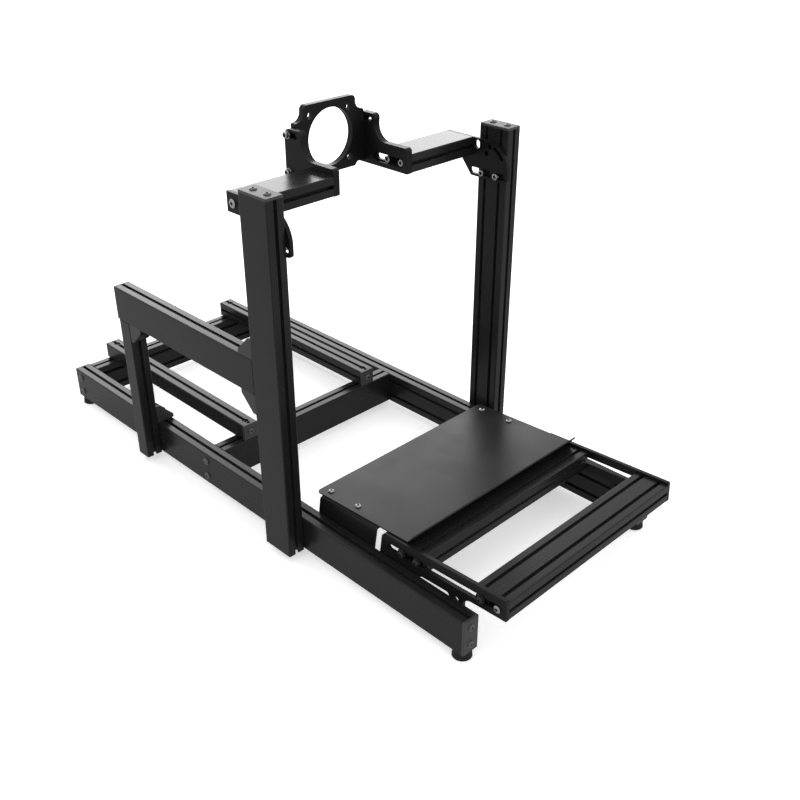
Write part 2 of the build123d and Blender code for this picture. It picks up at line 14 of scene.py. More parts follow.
import bpy
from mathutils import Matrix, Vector


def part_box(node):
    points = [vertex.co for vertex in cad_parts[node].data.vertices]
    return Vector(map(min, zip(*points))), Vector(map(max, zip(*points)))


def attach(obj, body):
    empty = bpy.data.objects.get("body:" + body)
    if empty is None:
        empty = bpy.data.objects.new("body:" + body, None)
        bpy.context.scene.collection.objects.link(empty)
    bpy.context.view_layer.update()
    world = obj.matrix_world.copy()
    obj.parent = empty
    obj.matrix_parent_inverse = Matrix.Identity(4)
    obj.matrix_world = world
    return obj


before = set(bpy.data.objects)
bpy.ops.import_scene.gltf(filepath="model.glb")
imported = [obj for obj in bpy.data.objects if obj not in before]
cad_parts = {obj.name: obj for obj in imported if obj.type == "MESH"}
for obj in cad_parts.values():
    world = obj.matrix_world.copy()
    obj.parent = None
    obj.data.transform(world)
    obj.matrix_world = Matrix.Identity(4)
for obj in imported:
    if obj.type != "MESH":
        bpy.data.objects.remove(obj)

LOG = logging.getLogger("cockpit")
BODY = "root"
SIDES = ((1, "right"), (-1, "left"))

Point = tuple[float, float, float]
Colour = tuple[float, float, float]


class Run(Enum):
    """Which way a bar's extrusion lines run."""

    ACROSS = (1.0, 40.0, 40.0)
    ALONG = (40.0, 1.0, 40.0)
    UP = (40.0, 40.0, 1.0)
    NONE = (1.0, 1.0, 1.0)


class Tree:
    """A node tree with short calls to add and join its nodes."""

    def __init__(self, tree: bpy.types.NodeTree) -> None:
        """Start from a tree.

        Args:
            tree: the node tree that is filled.
        """
        self.tree = tree

    @classmethod
    def group(cls, name: str, kind: str) -> "Tree":
        """Make an empty node group.

        Args:
            name: the group's name.
            kind: "ShaderNodeTree" or "GeometryNodeTree".

        Returns:
            The group, ready to be filled.
        """
        return cls(bpy.data.node_groups.new(name, kind))

    def socket(self, name: str, kind: str, way: str = "INPUT", value: Any = None) -> None:
        """Give the group a socket.

        Args:
            name: the socket's name.
            kind: its type, without the leading "NodeSocket".
            way: "INPUT" or "OUTPUT".
            value: its default value, if it has one.
        """
        made = self.tree.interface.new_socket(name, in_out=way, socket_type="NodeSocket" + kind)
        if value is not None:
            made.default_value = value

    def add(self, kind: str, *links: tuple[Any, Any], **settings: Any) -> bpy.types.Node:
        """Add a node.

        Args:
            kind: the node's type name.
            *links: pairs of the node's input, by name or number, and what feeds it: another
                node's output or a plain value.
            **settings: the node's own properties.

        Returns:
            The new node.
        """
        node = self.tree.nodes.new(kind)
        for key, value in settings.items():
            setattr(node, key, value)
        for key, source in links:
            if isinstance(source, bpy.types.NodeSocket):
                self.tree.links.new(source, node.inputs[key])
            else:
                node.inputs[key].default_value = source
        return node

    def maths(self, operation: str, *values: Any) -> bpy.types.NodeSocket:
        """Add a sum on numbers.

        Args:
            operation: the Math node's operation.
            *values: its inputs in order, each an output or a number.

        Returns:
            The result.
        """
        links = list(enumerate(values))
        return self.add("ShaderNodeMath", *links, operation=operation).outputs[0]

    def mix(self, share: Any, low: Any, high: Any) -> bpy.types.NodeSocket:
        """Mix two colours.

        Args:
            share: how much of the second colour shows, 0 to 1.
            low: the first colour.
            high: the second colour.

        Returns:
            The mixed colour.
        """
        links = ((0, share), (6, low), (7, high))
        return self.add("ShaderNodeMix", *links, data_type="RGBA").outputs[2]

    def span(self, value: Any, low: float, high: float, to: tuple[float, float]) -> Any:
        """Map a range of numbers to another, held at its ends.

        Args:
            value: the number that is mapped.
            low: the lower end that is mapped.
            high: the upper end that is mapped.
            to: what the two ends become.

        Returns:
            The mapped number.
        """
        links = ((0, value), (1, low), (2, high), (3, to[0]), (4, to[1]))
        return self.add("ShaderNodeMapRange", *links).outputs[0]


def rgba(colour: Colour) -> tuple[float, float, float, float]:
    """Add a full alpha to a colour."""
    return (*colour, 1.0)


# Shared surface effects. A range is the part of a value's reach that is spread over 0 to 1.
GRAIN_RANGE = (0.3, 0.7)
PATCH_RANGE = (0.35, 0.65)
DRAWN_TO_FINE = 0.012
DRAWN_SHARE = 0.6
BEVEL_SAMPLES = 6
EDGE_RANGE = (0.995, 0.86)
WEAR_RANGE = (0.38, 0.62)
WEAR_LEAST = 0.35
SPECK_SCALE = 420.0
SPECK_RANGE = (0.5, 0.75)
SPECK_LEAST = 0.15
UP_RANGE = (0.5, 1.0)
DUST_COLOUR = (0.35, 0.34, 0.33)
# Painted slot light: the ambient occlusion samples, and the part of its reach spread over the
# painted light.
RECESS_SAMPLES = 4
RECESS_RANGE = (0.25, 0.85)


def grain_group() -> bpy.types.NodeTree:
    """Build the drawn or moulded grain that all the rig's finishes share.

    Returns:
        A group from Vector, Stretch, Scale and Patch Scale to Tone, Height and Patch.
    """
    tree = Tree.group("Surface grain", "ShaderNodeTree")
    tree.socket("Vector", "Vector")
    tree.socket("Stretch", "Vector", value=(1, 1, 1))
    tree.socket("Scale", "Float", value=900.0)
    tree.socket("Patch Scale", "Float", value=9.0)
    for name in ("Tone", "Height", "Patch"):
        tree.socket(name, "Float", "OUTPUT")
    entry = tree.add("NodeGroupInput")
    place = entry.outputs["Vector"]
    drawn = tree.add(
        "ShaderNodeVectorMath",
        (0, place),
        (1, entry.outputs["Stretch"]),
        operation="MULTIPLY",
    ).outputs[0]
    coarse_scale = tree.maths("MULTIPLY", entry.outputs["Scale"], DRAWN_TO_FINE)
    lines = tree.add(
        "ShaderNodeTexNoise", ("Vector", drawn), ("Scale", coarse_scale), ("Detail", 3.0)
    )
    fine = tree.add(
        "ShaderNodeTexNoise",
        ("Vector", place),
        ("Scale", entry.outputs["Scale"]),
        ("Detail", 2.0),
    )
    patch = tree.add(
        "ShaderNodeTexNoise",
        ("Vector", place),
        ("Scale", entry.outputs["Patch Scale"]),
        ("Detail", 4.0),
        ("Roughness", 0.55),
    )
    line_tone = tree.span(lines.outputs[0], *GRAIN_RANGE, (0.0, 1.0))
    fine_tone = tree.span(fine.outputs[0], *GRAIN_RANGE, (0.0, 1.0))
    both = tree.maths(
        "ADD",
        tree.maths("MULTIPLY", line_tone, DRAWN_SHARE),
        tree.maths("MULTIPLY", fine_tone, 1.0 - DRAWN_SHARE),
    )
    soft = tree.span(patch.outputs[0], *PATCH_RANGE, (0.0, 1.0))
    tree.add("NodeGroupOutput", ("Tone", both), ("Height", both), ("Patch", soft))
    return tree.tree


def edge_group() -> bpy.types.NodeTree:
    """Build the worn and rounded edge that the metal finishes share.

    Returns:
        A group from Vector, Radius and Break Up to Edge, a mask, and Normal, which is rounded.
    """
    tree = Tree.group("Rounded worn edge", "ShaderNodeTree")
    tree.socket("Vector", "Vector")
    tree.socket("Radius", "Float", value=0.0006)
    tree.socket("Break Up", "Float", value=60.0)
    tree.socket("Edge", "Float", "OUTPUT")
    tree.socket("Normal", "Vector", "OUTPUT")
    entry = tree.add("NodeGroupInput")
    rounded = tree.add(
        "ShaderNodeBevel", ("Radius", entry.outputs["Radius"]), samples=BEVEL_SAMPLES
    ).outputs[0]
    true = tree.add("ShaderNodeNewGeometry").outputs["True Normal"]
    facing = tree.add("ShaderNodeVectorMath", (0, rounded), (1, true), operation="DOT_PRODUCT")
    bend = tree.span(facing.outputs["Value"], *EDGE_RANGE, (0.0, 1.0))
    wear = tree.add(
        "ShaderNodeTexNoise",
        ("Vector", entry.outputs["Vector"]),
        ("Scale", entry.outputs["Break Up"]),
        ("Detail", 3.0),
    )
    broken = tree.span(wear.outputs[0], *WEAR_RANGE, (WEAR_LEAST, 1.0))
    mask = tree.maths("MULTIPLY", bend, broken)
    tree.add("NodeGroupOutput", ("Edge", mask), ("Normal", rounded))
    return tree.tree


def dust_group() -> bpy.types.NodeTree:
    """Build the thin dust that lies on faces that look up.

    Returns:
        A group from Vector and Amount to Dust, a mask.
    """
    tree = Tree.group("Settled dust", "ShaderNodeTree")
    tree.socket("Vector", "Vector")
    tree.socket("Amount", "Float", value=0.02)
    tree.socket("Dust", "Float", "OUTPUT")
    entry = tree.add("NodeGroupInput")
    normal = tree.add("ShaderNodeNewGeometry").outputs["True Normal"]
    up = tree.add("ShaderNodeSeparateXYZ", (0, normal)).outputs["Z"]
    speck = tree.add(
        "ShaderNodeTexNoise",
        ("Vector", entry.outputs["Vector"]),
        ("Scale", SPECK_SCALE),
        ("Detail", 2.0),
    )
    spots = tree.span(speck.outputs[0], *SPECK_RANGE, (SPECK_LEAST, 1.0))
    lying = tree.maths("MULTIPLY", tree.span(up, *UP_RANGE, (0.0, 1.0)), spots)
    tree.add("NodeGroupOutput", ("Dust", tree.maths("MULTIPLY", lying, entry.outputs["Amount"])))
    return tree.tree


GRAIN = grain_group()
EDGE = edge_group()
DUST = dust_group()


@dataclass(frozen=True)
class Finish:
    """One surface finish: its colour, gloss, grain, edges, dust and closed-in places.

    The sizes are in metres, and the scales are in features to the metre. The colour goes from
    colour to light over the grain. Recess is how much painted light shows in the slots: the
    lighter painted_slot_light_colour is painted where the part closes in on itself, standing in
    for the light that the slots catch between their own walls.
    """

    name: str
    colour: Colour
    light: Colour
    edge: Colour
    roughness: float
    roughness_spread: float = 0.06
    metallic: float = 0.0
    specular: float = 0.3
    grain: float = 900.0
    patch: float = 9.0
    relief: float = 0.15
    relief_depth: float = 0.00004
    radius: float = 0.0006
    edge_share: float = 0.5
    dust: float = 0.02
    run: Run = Run.NONE
    # Painted light in the slots: recess is its share, recess_reach is how far closing walls are
    # looked for, and the colour below is what is painted.
    recess: float = 0.0
    recess_reach: float = 0.01
    painted_slot_light_colour: Colour = (0.06, 0.06, 0.062)

    def material(self) -> bpy.types.Material:
        """Build the material, or give the one that was built before.

        Returns:
            The material.
        """
        label = self.name if self.run is Run.NONE else f"{self.name}, {self.run.name.lower()}"
        made = bpy.data.materials.get(label)
        if made:
            return made
        material = bpy.data.materials.new(label)
        material.use_nodes = True
        tree = Tree(material.node_tree)
        tree.tree.nodes.clear()
        place = tree.add("ShaderNodeTexCoord").outputs["Object"]
        grain = self._group(tree, GRAIN, place, Stretch=self.run.value, Scale=self.grain)
        grain.inputs["Patch Scale"].default_value = self.patch
        edge = self._group(tree, EDGE, place, Radius=self.radius)
        dust = self._group(tree, DUST, place, Amount=self.dust)
        tone = tree.maths(
            "ADD",
            tree.maths("MULTIPLY", grain.outputs["Tone"], 0.5),
            tree.maths("MULTIPLY", grain.outputs["Patch"], 0.5),
        )
        base = tree.mix(tone, rgba(self.colour), rgba(self.light))
        rubbed = tree.maths("MULTIPLY", edge.outputs["Edge"], self.edge_share)
        worn = tree.mix(rubbed, base, rgba(self.edge))
        # Painted light: where the part closes in on itself, as in its slots, the colour is
        # lightened towards the painted slot light, standing in for light caught between the walls.
        open_share = tree.add(
            "ShaderNodeAmbientOcclusion",
            ("Distance", self.recess_reach),
            samples=RECESS_SAMPLES,
            only_local=True,
        ).outputs["AO"]
        closed = tree.span(open_share, *RECESS_RANGE, (1.0, 0.0))
        painted_slot_light_share = tree.maths("MULTIPLY", closed, self.recess)
        filled = tree.mix(painted_slot_light_share, worn, rgba(self.painted_slot_light_colour))
        dusty = tree.mix(dust.outputs["Dust"], filled, rgba(DUST_COLOUR))
        low = self.roughness - self.roughness_spread
        high = self.roughness + self.roughness_spread
        matt = tree.span(tone, 0.0, 1.0, (low, high))
        bump = tree.add(
            "ShaderNodeBump",
            ("Strength", self.relief),
            ("Distance", self.relief_depth),
            ("Height", grain.outputs["Height"]),
            ("Normal", edge.outputs["Normal"]),
        )
        shader = tree.add(
            "ShaderNodeBsdfPrincipled",
            ("Base Color", dusty),
            ("Roughness", matt),
            ("Normal", bump.outputs[0]),
            ("Metallic", self.metallic),
            ("Specular IOR Level", self.specular),
        )
        tree.add("ShaderNodeOutputMaterial", ("Surface", shader.outputs[0]))
        return material

    @staticmethod
    def _group(tree: Tree, group: bpy.types.NodeTree, place: Any, **values: Any) -> Any:
        """Place a shared group in a material.

        Args:
            tree: the material's tree.
            group: the shared group.
            place: what feeds its Vector.
            **values: its other inputs.

        Returns:
            The group's node.
        """
        node = tree.tree.nodes.new("ShaderNodeGroup")
        node.node_tree = group
        tree.tree.links.new(place, node.inputs["Vector"])
        for key, value in values.items():
            node.inputs[key].default_value = value
        return node

    def dress(self, *nodes: str) -> None:
        """Give CAD nodes this finish.

        Args:
            *nodes: the nodes' names.
        """
        for name in nodes:
            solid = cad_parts[name]
            solid.data.materials.clear()
            solid.data.materials.append(self.material())


def bar_finish(run: Run) -> Finish:
    """Black anodised bar, its extrusion lines running one way.

    Args:
        run: the way that the bar runs.

    Returns:
        The finish.
    """
    return Finish(
        name="Black anodised bar",
        colour=(0.0095, 0.0095, 0.0098),
        light=(0.0122, 0.0122, 0.0126),
        edge=(0.05, 0.05, 0.052),
        roughness=0.27,
        roughness_spread=0.018,
        specular=0.2,
        relief=0.03,
        run=run,
        # The bars' slots get painted light.
        recess=0.65,
    )


PLATE = Finish(
    name="Black anodised plate",
    colour=(0.0055, 0.0055, 0.006),
    light=(0.008, 0.008, 0.0085),
    edge=(0.07, 0.07, 0.072),
    roughness=0.36,
    specular=0.13,
    radius=0.0005,
)
SHEET = Finish(
    name="Black coated sheet",
    colour=(0.0085, 0.0085, 0.009),
    light=(0.012, 0.012, 0.0125),
    edge=(0.05, 0.05, 0.05),
    roughness=0.38,
    specular=0.2,
    grain=1600.0,
    relief=0.2,
    radius=0.0004,
)
CASTING = Finish(
    name="Black painted casting",
    colour=(0.021, 0.021, 0.0215),
    light=(0.03, 0.03, 0.0305),
    edge=(0.07, 0.07, 0.07),
    roughness=0.48,
    specular=0.4,
    grain=700.0,
    relief=0.5,
    relief_depth=0.0001,
    radius=0.001,
)
CAP = Finish(
    name="Moulded black cap",
    colour=(0.028, 0.028, 0.0285),
    light=(0.038, 0.038, 0.0385),
    edge=(0.06, 0.06, 0.06),
    roughness=0.46,
    specular=0.45,
    grain=1400.0,
    relief=0.35,
    relief_depth=0.00008,
    radius=0.0004,
)
RUBBER = Finish(
    name="Black rubber",
    colour=(0.008, 0.008, 0.008),
    light=(0.013, 0.013, 0.013),
    edge=(0.02, 0.02, 0.02),
    roughness=0.62,
    specular=0.2,
    grain=1200.0,
    relief=0.5,
    relief_depth=0.0001,
    radius=0.0008,
)
BLACK_SCREW = Finish(
    name="Black oxide screw",
    colour=(0.018, 0.018, 0.02),
    light=(0.035, 0.035, 0.037),
    edge=(0.2, 0.2, 0.2),
    roughness=0.36,
    metallic=0.55,
    specular=0.5,
    grain=2400.0,
    patch=120.0,
    radius=0.0003,
    edge_share=0.35,
)
BRIGHT_SCREW = Finish(
    name="Bright steel screw",
    colour=(0.28, 0.28, 0.29),
    light=(0.42, 0.42, 0.43),
    edge=(0.6, 0.6, 0.6),
    roughness=0.24,
    metallic=1.0,
    specular=0.5,
    grain=2400.0,
    patch=120.0,
    radius=0.0003,
    dust=0.0,
)
SATIN_SCREW = Finish(
    name="Satin black screw",
    colour=(0.045, 0.045, 0.046),
    light=(0.06, 0.06, 0.061),
    edge=(0.14, 0.14, 0.14),
    roughness=0.36,
    specular=0.7,
    grain=2400.0,
    patch=120.0,
    radius=0.0004,
)
# Painted shade: a near-black colour put on the faces inside the screws' sockets, standing in for
# the shadow there.
PAINTED_SOCKET_SHADE = Finish(
    name="Painted socket shade",
    colour=(0.003, 0.003, 0.003),
    light=(0.006, 0.006, 0.006),
    edge=(0.01, 0.01, 0.01),
    roughness=0.7,
    specular=0.1,
    grain=2400.0,
    radius=0.0002,
    dust=0.0,
)


# Screws
HEAD_SIDES = 28
HEAD_RINGS = 5
CROWN_POWER = 2.2
RIM_START = 0.95
KEY_SIDES = 6
KEY_REACH = 0.6
SOCKET_LIP = 0.3
WASHER_SIDES = 32
SHARP_ANGLE = 0.6
SPIN_MOST = 1.05


class ScrewTree:
    """The geometry tree that stands a socket screw and its washer on each point.

    Each point carries "aim", the way that its screw's head looks. A screw stands on the XY plane
    while it is made, and its sizes are in metres.
    """

    inputs = (
        ("Head Radius", 0.0065),
        ("Head Height", 0.008),
        ("Dome", 0.1),
        ("Edge", 0.0006),
        ("Socket Across", 0.006),
        ("Socket Depth", 0.004),
        ("Washer Radius", 0.0),
        ("Washer Thickness", 0.0016),
    )

    def __init__(self) -> None:
        """Build the tree."""
        tree = self.tree = Tree.group("Socket screws", "GeometryNodeTree")
        tree.socket("Geometry", "Geometry")
        for name, value in self.inputs:
            tree.socket(name, "Float", value=value)
        tree.socket("Seed", "Int", value=7)
        tree.socket("Finish", "Material")
        tree.socket("Socket Painted Shade", "Material")
        tree.socket("Geometry", "Geometry", "OUTPUT")
        self.entry = tree.add("NodeGroupInput").outputs
        place = tree.add("GeometryNodeInputPosition").outputs[0]
        self.axes = tree.add("ShaderNodeSeparateXYZ", (0, place)).outputs
        flat = tree.add("ShaderNodeCombineXYZ", (0, self.axes["X"]), (1, self.axes["Y"])).outputs[0]
        away = tree.add("ShaderNodeVectorMath", (0, flat), operation="LENGTH")
        self.reach = away.outputs["Value"]
        height, washer = self.entry["Head Height"], self.entry["Washer Thickness"]
        self.brim = tree.maths("ADD", height, washer)
        screw = self.shade(self.washer(), self.socket(self.head()))
        tree.add("NodeGroupOutput", (0, self.coat(self.stand(screw))))

    def raised(self, mesh: Any, rise: Any) -> Any:
        """Move a mesh up.

        Args:
            mesh: the mesh.
            rise: how far.

        Returns:
            The moved mesh.
        """
        shift = self.tree.add("ShaderNodeCombineXYZ", (2, rise)).outputs[0]
        return self.tree.add(
            "GeometryNodeTransform", ("Geometry", mesh), ("Translation", shift)
        ).outputs[0]

    def head(self) -> Any:
        """Make the head, its top domed and its rim rounded off.

        Returns:
            The head, on its washer.
        """
        tree, entry = self.tree, self.entry
        radius, height = entry["Head Radius"], entry["Head Height"]
        drum = tree.add(
            "GeometryNodeMeshCylinder",
            ("Vertices", HEAD_SIDES),
            ("Side Segments", 1),
            ("Fill Segments", HEAD_RINGS),
            ("Radius", radius),
            ("Depth", height),
            fill_type="TRIANGLE_FAN",
        )
        share = tree.maths("DIVIDE", self.reach, radius)
        crown = tree.maths("MULTIPLY", tree.maths("POWER", share, CROWN_POWER), entry["Dome"])
        drop = tree.maths("MULTIPLY", crown, height)
        at_rim = tree.maths("GREATER_THAN", share, RIM_START)
        rim = tree.maths("MULTIPLY", at_rim, entry["Edge"])
        down = tree.maths("MULTIPLY", tree.maths("ADD", drop, rim), -1.0)
        top = tree.add(
            "FunctionNodeCompare", (0, self.axes["Z"]), (1, 0.0), operation="GREATER_THAN"
        )
        domed = tree.add(
            "GeometryNodeSetPosition",
            ("Geometry", drum.outputs["Mesh"]),
            ("Selection", top.outputs[0]),
            ("Offset", tree.add("ShaderNodeCombineXYZ", (2, down)).outputs[0]),
        ).outputs[0]
        half = tree.maths("MULTIPLY", height, 0.5)
        return self.raised(domed, tree.maths("ADD", half, entry["Washer Thickness"]))

    def socket(self, head: Any) -> Any:
        """Cut the hexagon socket and mark its faces.

        Args:
            head: the head.

        Returns:
            The cut head, with the face attribute "socket".
        """
        tree, across, depth = self.tree, self.entry["Socket Across"], self.entry["Socket Depth"]
        key = tree.add(
            "GeometryNodeMeshCylinder",
            ("Vertices", KEY_SIDES),
            ("Radius", tree.maths("DIVIDE", across, math.sqrt(3))),
            ("Depth", tree.maths("MULTIPLY", depth, 2.0)),
        )
        cut = tree.add(
            "GeometryNodeMeshBoolean",
            (0, head),
            (1, self.raised(key.outputs["Mesh"], self.brim)),
            operation="DIFFERENCE",
            solver="EXACT",
        ).outputs[0]
        lip = tree.maths("SUBTRACT", self.brim, tree.maths("MULTIPLY", depth, SOCKET_LIP))
        within = tree.maths("MULTIPLY", across, KEY_REACH)
        inside = tree.add(
            "FunctionNodeCompare", (0, self.reach), (1, within), operation="LESS_THAN"
        )
        under = tree.add(
            "FunctionNodeCompare", (0, self.axes["Z"]), (1, lip), operation="LESS_THAN"
        )
        sunk = tree.add(
            "FunctionNodeBooleanMath",
            (0, inside.outputs[0]),
            (1, under.outputs[0]),
            operation="AND",
        )
        return tree.add(
            "GeometryNodeStoreNamedAttribute",
            ("Geometry", cut),
            ("Name", "socket"),
            ("Value", sunk.outputs[0]),
            data_type="BOOLEAN",
            domain="FACE",
        ).outputs[0]

    def washer(self) -> Any:
        """Make the washer, standing on the seat."""
        thickness = self.entry["Washer Thickness"]
        ring = self.tree.add(
            "GeometryNodeMeshCylinder",
            ("Vertices", WASHER_SIDES),
            ("Radius", self.entry["Washer Radius"]),
            ("Depth", thickness),
        )
        return self.raised(ring.outputs["Mesh"], self.tree.maths("MULTIPLY", thickness, 0.5))

    def shade(self, washer: Any, head: Any) -> Any:
        """Join the washer and the head, and shade them smooth between their sharp edges.

        Args:
            washer: the washer.
            head: the head.

        Returns:
            The screw.
        """
        tree = self.tree
        whole = tree.add("GeometryNodeJoinGeometry", (0, washer))
        tree.tree.links.new(head, whole.inputs[0])
        smooth = tree.add("GeometryNodeSetShadeSmooth", (0, whole.outputs[0])).outputs[0]
        angle = tree.add("GeometryNodeInputMeshEdgeAngle").outputs[0]
        sharp = tree.add(
            "FunctionNodeCompare", (0, angle), (1, SHARP_ANGLE), operation="GREATER_THAN"
        )
        return tree.add(
            "GeometryNodeSetShadeSmooth",
            (0, smooth),
            ("Selection", sharp.outputs[0]),
            ("Shade Smooth", False),
            domain="EDGE",
        ).outputs[0]

    def stand(self, screw: Any) -> Any:
        """Stand the screw on each point, turned by chance about its own axis.

        Args:
            screw: the screw.

        Returns:
            The real screws.
        """
        tree, entry = self.tree, self.entry
        aim = tree.add(
            "GeometryNodeInputNamedAttribute", (0, "aim"), data_type="FLOAT_VECTOR"
        ).outputs[0]
        turned = tree.add("FunctionNodeAlignRotationToVector", ("Vector", aim), axis="Z").outputs[0]
        chance = tree.add("FunctionNodeRandomValue", (2, 0.0), (3, SPIN_MOST), data_type="FLOAT")
        tree.tree.links.new(entry["Seed"], chance.inputs["Seed"])
        spin = tree.add(
            "FunctionNodeAxisAngleToRotation", ("Axis", (0, 0, 1)), ("Angle", chance.outputs[1])
        ).outputs[0]
        both = tree.add(
            "FunctionNodeRotateRotation", (0, turned), (1, spin), rotation_space="LOCAL"
        ).outputs[0]
        points = tree.add("GeometryNodeMeshToPoints", (0, entry["Geometry"])).outputs[0]
        stands = tree.add(
            "GeometryNodeInstanceOnPoints",
            ("Points", points),
            ("Instance", screw),
            ("Rotation", both),
        ).outputs[0]
        return tree.add("GeometryNodeRealizeInstances", (0, stands)).outputs[0]

    def coat(self, screws: Any) -> Any:
        """Give the screws their finish, and their sockets another.

        Args:
            screws: the real screws.

        Returns:
            The finished screws.
        """
        tree, entry = self.tree, self.entry
        plain_set = tree.add("GeometryNodeSetMaterial", (0, screws), ("Material", entry["Finish"]))
        # Painted shade: the socket faces get the near-black socket colour as their shadow.
        sunk = tree.add("GeometryNodeInputNamedAttribute", (0, "socket"), data_type="BOOLEAN")
        return tree.add(
            "GeometryNodeSetMaterial",
            (0, plain_set.outputs[0]),
            ("Selection", sunk.outputs[0]),
            ("Material", entry["Socket Painted Shade"]),
        ).outputs[0]


SCREWS = ScrewTree().tree.tree


@dataclass(frozen=True)
class Screw:
    """A socket screw's head, and the washer under it where it has one."""

    head_radius: float
    head_height: float
    dome: float
    socket: float
    socket_depth: float
    washer_radius: float = 0.0005
    washer: float = 0.0
    edge: float = 0.0006

    def fit(self, name: str, seats: Iterable[tuple[Point, Point]], finish: Finish) -> Any:
        """Stand a screw on each seat and make them one plain mesh.

        Args:
            name: the piece's name.
            seats: each screw's seat and the way that its head looks.
            finish: the screws' finish.

        Returns:
            The piece, riding on the rig.
        """
        seats = list(seats)
        mesh = bpy.data.meshes.new(name)
        mesh.from_pydata([seat for seat, _ in seats], [], [])
        aims = mesh.attributes.new("aim", "FLOAT_VECTOR", "POINT")
        aims.data.foreach_set("vector", [value for _, aim in seats for value in aim])
        piece = bpy.data.objects.new(name, mesh)
        bpy.context.scene.collection.objects.link(piece)
        modifier = piece.modifiers.new("screws", "NODES")
        modifier.node_group = SCREWS
        values = {
            "Head Radius": self.head_radius,
            "Head Height": self.head_height,
            "Dome": self.dome,
            "Edge": self.edge,
            "Socket Across": self.socket,
            "Socket Depth": self.socket_depth,
            "Washer Radius": self.washer_radius,
            "Washer Thickness": self.washer,
            "Seed": len(name),
            "Finish": finish.material(),
            "Socket Painted Shade": PAINTED_SOCKET_SHADE.material(),
        }
        for item in SCREWS.interface.items_tree:
            if item.name in values:
                modifier[item.identifier] = values[item.name]
        plain(piece)
        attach(piece, BODY)
        return piece


def plain(piece: bpy.types.Object) -> None:
    """Turn an object's evaluated shape into its own plain mesh, and drop its modifiers.

    The meshes that a geometry tree makes bring an empty first material slot, which goes too.

    Args:
        piece: the object.
    """
    graph = bpy.context.evaluated_depsgraph_get()
    graph.update()
    mesh = bpy.data.meshes.new_from_object(piece.evaluated_get(graph), depsgraph=graph)
    while mesh.materials and mesh.materials[0] is None:
        mesh.materials.pop(index=0)
    piece.modifiers.clear()
    piece.data = mesh


FRAME_BOLT = Screw(0.0065, 0.008, 0.04, 0.006, 0.0045, 0.0085, 0.0016)
RAIL_BOLT = Screw(0.0088, 0.005, 0.5, 0.005, 0.0028)
DISC_BOLT = Screw(0.009, 0.0045, 0.15, 0.0065, 0.0035)
RING_BOLT = Screw(0.0072, 0.008, 0.03, 0.007, 0.005)
MOUNT_BOLT = Screw(0.0068, 0.007, 0.05, 0.0072, 0.005, 0.0085, 0.0016)
LOW_BOLT = Screw(0.0072, 0.005, 0.12, 0.005, 0.0035, 0.0088, 0.0016)
STOP_BOLT = Screw(0.0078, 0.005, 0.15, 0.0062, 0.004)
CAP_SCREW = Screw(0.0074, 0.0034, 0.5, 0.005, 0.0026)
PLATE_SCREW = Screw(0.0066, 0.0046, 0.45, 0.0045, 0.003)


class Box:
    """A CAD node's lowest and highest corners."""

    def __init__(self, node: str) -> None:
        """Read a node's box.

        Args:
            node: the node's name.
        """
        low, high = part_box(node)
        self.low = Vector(low)
        self.high = Vector(high)

    def centre(self, axis: int) -> float:
        """Give the middle along an axis, 0 to 2."""
        return (self.low[axis] + self.high[axis]) / 2

    def outer_x(self, side: int) -> float:
        """Give X of the face that looks away from the rig's middle, 1 right or -1 left."""
        return self.high.x if side > 0 else self.low.x

    def inner_x(self, side: int) -> float:
        """Give X of the face that looks to the rig's middle, 1 right or -1 left."""
        return self.low.x if side > 0 else self.high.x


@dataclass
class BaseFrame:
    """The two long rails on the floor, their cross members and the seat rails."""

    module: float = 0.04
    screw_sink: float = 0.0123
    pieces: list[Any] = field(default_factory=list)

    def dress(self) -> None:
        """Give the bars their finish."""
        along = bar_finish(Run.ALONG)
        for _, name in SIDES:
            along.dress(f"base_rail_{name}", f"seat_rail_{name}")
        bar_finish(Run.ACROSS).dress("rear_crossmember", "front_crossmember")

    def build(self) -> list[Any]:
        """Fit the bolts through the rails and the screws sunk in the seat rails.

        Returns:
            The pieces.
        """
        half = self.module / 2
        bolts, sunk = [], []
        for side, name in SIDES:
            rail = Box(f"base_rail_{name}")
            seat = Box(f"seat_rail_{name}")
            for member in ("rear_crossmember", "front_crossmember"):
                y = Box(member).centre(1)
                for z in (rail.low.z + half, rail.high.z - half):
                    bolts.append(((rail.outer_x(side), y, z), (side, 0, 0)))
                sunk.append(((seat.centre(0), y, seat.high.z - self.screw_sink), (0, 0, 1)))
        self.pieces = [
            RAIL_BOLT.fit("rail_bolts", bolts, SATIN_SCREW),
            FRAME_BOLT.fit("seat_rail_screws", sunk, BLACK_SCREW),
        ]
        return self.pieces


